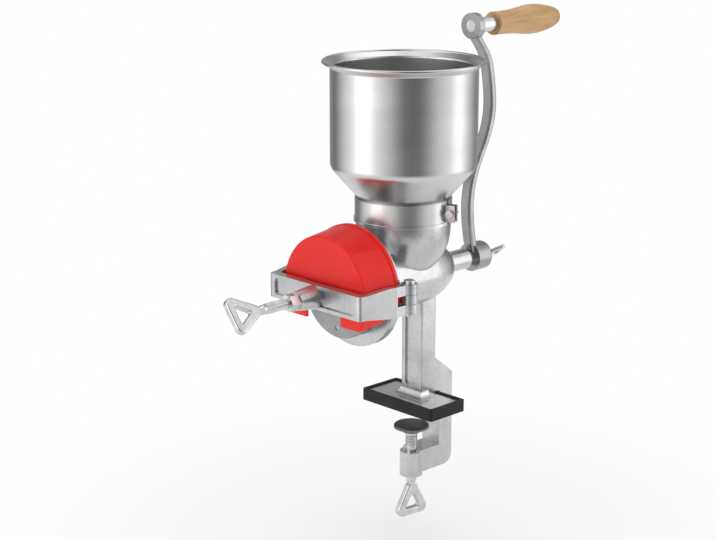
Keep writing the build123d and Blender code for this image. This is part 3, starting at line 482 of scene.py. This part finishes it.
def place_camera():
    """Camera at the photograph's viewpoint."""
    right, up, back = view_axes()
    camera_data = bpy.data.cameras.new("view")
    camera_data.sensor_width = SENSOR_WIDTH
    camera_data.lens = FOCAL_PIXELS / IMAGE_WIDTH * SENSOR_WIDTH
    camera = bpy.data.objects.new("view", camera_data)
    bpy.context.scene.collection.objects.link(camera)
    target = right * VIEW_SIDEWAYS + Vector((0.0, 0.0, VIEW_HEIGHT))
    turn = Matrix((right, up, back)).transposed().to_4x4()
    camera.matrix_world = Matrix.Translation(target + back * VIEW_DISTANCE) @ turn
    bpy.context.scene.camera = camera


def around(turn, distance, height):
    """Point round the object, at a turn from the camera's side towards the picture's right."""
    right, _, back = view_axes()
    toward = Vector((back.x, back.y, 0.0)).normalized()
    angle = math.radians(turn)
    flat = toward * math.cos(angle) + right * math.sin(angle)
    return flat * distance + Vector((0.0, 0.0, height))


def softbox(name, position, width, height, radiance):
    """Rectangular area light that looks at the object's middle."""
    light_data = bpy.data.lights.new(name, "AREA")
    light_data.shape = "RECTANGLE"
    light_data.size = width
    light_data.size_y = height
    light_data.energy = radiance * math.pi * width * height
    light = bpy.data.objects.new(name, light_data)
    bpy.context.scene.collection.objects.link(light)
    light.location = position
    light.rotation_euler = (Vector(LIGHT_AIM) - position).to_track_quat("-Z", "Y").to_euler()


def place_lights():
    """A softbox on each side and one above."""
    left = around(-65.0, SIDE_LIGHT_DISTANCE, SIDE_LIGHT_HEIGHT)
    right = around(90.0, SIDE_LIGHT_DISTANCE, SIDE_LIGHT_HEIGHT)
    above = around(150.0, TOP_LIGHT_DISTANCE, TOP_LIGHT_HEIGHT)
    softbox("left_softbox", left, width=0.9, height=SIDE_LIGHT_TALL, radiance=1.02)
    softbox("right_softbox", right, width=0.7, height=SIDE_LIGHT_TALL, radiance=0.95)
    softbox("top_softbox", above, width=TOP_LIGHT_SIZE, height=TOP_LIGHT_SIZE, radiance=0.9)


def facing(tree, direction, turn, full_within, gone_beyond):
    """1 where a direction points to a turn round the object, fading to 0 away from it."""
    flat = tree.nodes.new("ShaderNodeVectorMath")
    flat.operation = "MULTIPLY"
    flat.inputs[1].default_value = (1.0, 1.0, 0.0)
    tree.links.new(direction, flat.inputs[0])
    unit = tree.nodes.new("ShaderNodeVectorMath")
    unit.operation = "NORMALIZE"
    tree.links.new(flat.outputs["Vector"], unit.inputs[0])
    dot = tree.nodes.new("ShaderNodeVectorMath")
    dot.operation = "DOT_PRODUCT"
    dot.inputs[1].default_value = around(turn, 1.0, 0.0)
    tree.links.new(unit.outputs["Vector"], dot.inputs[0])
    spread = tree.nodes.new("ShaderNodeMapRange")
    spread.interpolation_type = "SMOOTHSTEP"
    spread.inputs["From Min"].default_value = math.cos(math.radians(gone_beyond))
    spread.inputs["From Max"].default_value = math.cos(math.radians(full_within))
    tree.links.new(dot.outputs["Value"], spread.inputs["Value"])
    return spread.outputs["Result"]


def mix_shaders(tree, factor, first, second):
    """Mix of two shaders."""
    node = tree.nodes.new("ShaderNodeMixShader")
    tree.links.new(factor, node.inputs["Fac"])
    tree.links.new(first, node.inputs[1])
    tree.links.new(second, node.inputs[2])
    return node.outputs["Shader"]


def studio_world():
    """White for the camera, plain fill for matte surfaces, and a soft studio for reflections."""
    world = bpy.data.worlds.new("studio")
    bpy.context.scene.world = world
    world.use_nodes = True
    tree = world.node_tree
    tree.nodes.clear()
    output = tree.nodes.new("ShaderNodeOutputWorld")
    rays = tree.nodes.new("ShaderNodeLightPath")
    direction = tree.nodes.new("ShaderNodeTexCoord").outputs["Generated"]

    studio = STUDIO_DARK
    for turn, full_within, gone_beyond, level in STUDIO_SIDES:
        side = facing(tree, direction, turn, full_within, gone_beyond)
        studio = mix_colors(tree, side, studio, grey(level))

    fill = tree.nodes.new("ShaderNodeBackground")
    fill.inputs["Color"].default_value = (*FILL_COLOR, 1.0)
    fill.inputs["Strength"].default_value = FILL_STRENGTH
    reflected = tree.nodes.new("ShaderNodeBackground")
    tree.links.new(studio, reflected.inputs["Color"])
    white = tree.nodes.new("ShaderNodeBackground")
    white.inputs["Color"].default_value = (*grey(1.0), 1.0)

    glossy_or_clear = tree.nodes.new("ShaderNodeMath")
    glossy_or_clear.operation = "MAXIMUM"
    tree.links.new(rays.outputs["Is Glossy Ray"], glossy_or_clear.inputs[0])
    tree.links.new(rays.outputs["Is Transmission Ray"], glossy_or_clear.inputs[1])
    lighting = mix_shaders(
        tree,
        glossy_or_clear.outputs["Value"],
        fill.outputs["Background"],
        reflected.outputs["Background"],
    )
    seen = mix_shaders(tree, rays.outputs["Is Camera Ray"], lighting, white.outputs["Background"])
    tree.links.new(seen, output.inputs["Surface"])


def place_floor():
    """Pale round floor under the clamp screw, fading into the white background."""
    mesh_data = bpy.data.meshes.new("floor")
    shape = bmesh.new()
    bmesh.ops.create_circle(shape, cap_ends=True, radius=FLOOR_RADIUS, segments=96)
    shape.to_mesh(mesh_data)
    shape.free()
    floor = bpy.data.objects.new("floor", mesh_data)
    bpy.context.scene.collection.objects.link(floor)
    floor.location = (0.0, 0.0, cad_box[0].z - FLOOR_DROP)

    material, tree, shader = new_material("floor")
    shader.inputs["Base Color"].default_value = (*grey(FLOOR_GREY), 1.0)
    shader.inputs["Roughness"].default_value = 0.9
    place = tree.nodes.new("ShaderNodeTexCoord")
    reach = tree.nodes.new("ShaderNodeVectorMath")
    reach.operation = "LENGTH"
    tree.links.new(place.outputs["Object"], reach.inputs[0])
    fade = remap(
        tree,
        reach.outputs["Value"],
        low=FADE_START_SHARE,
        high=1.0,
        start=FADE_START_RADIUS,
        end=FADE_END_RADIUS,
    )
    white = tree.nodes.new("ShaderNodeEmission")
    output = next(node for node in tree.nodes if node.type == "OUTPUT_MATERIAL")
    blend = mix_shaders(tree, fade, shader.outputs["BSDF"], white.outputs["Emission"])
    tree.links.new(blend, output.inputs["Surface"])
    mesh_data.materials.append(material)


dress_nodes()
build_threads()
place_camera()
place_lights()
studio_world()
place_floor()
bpy.context.scene.view_settings.view_transform = "Standard"
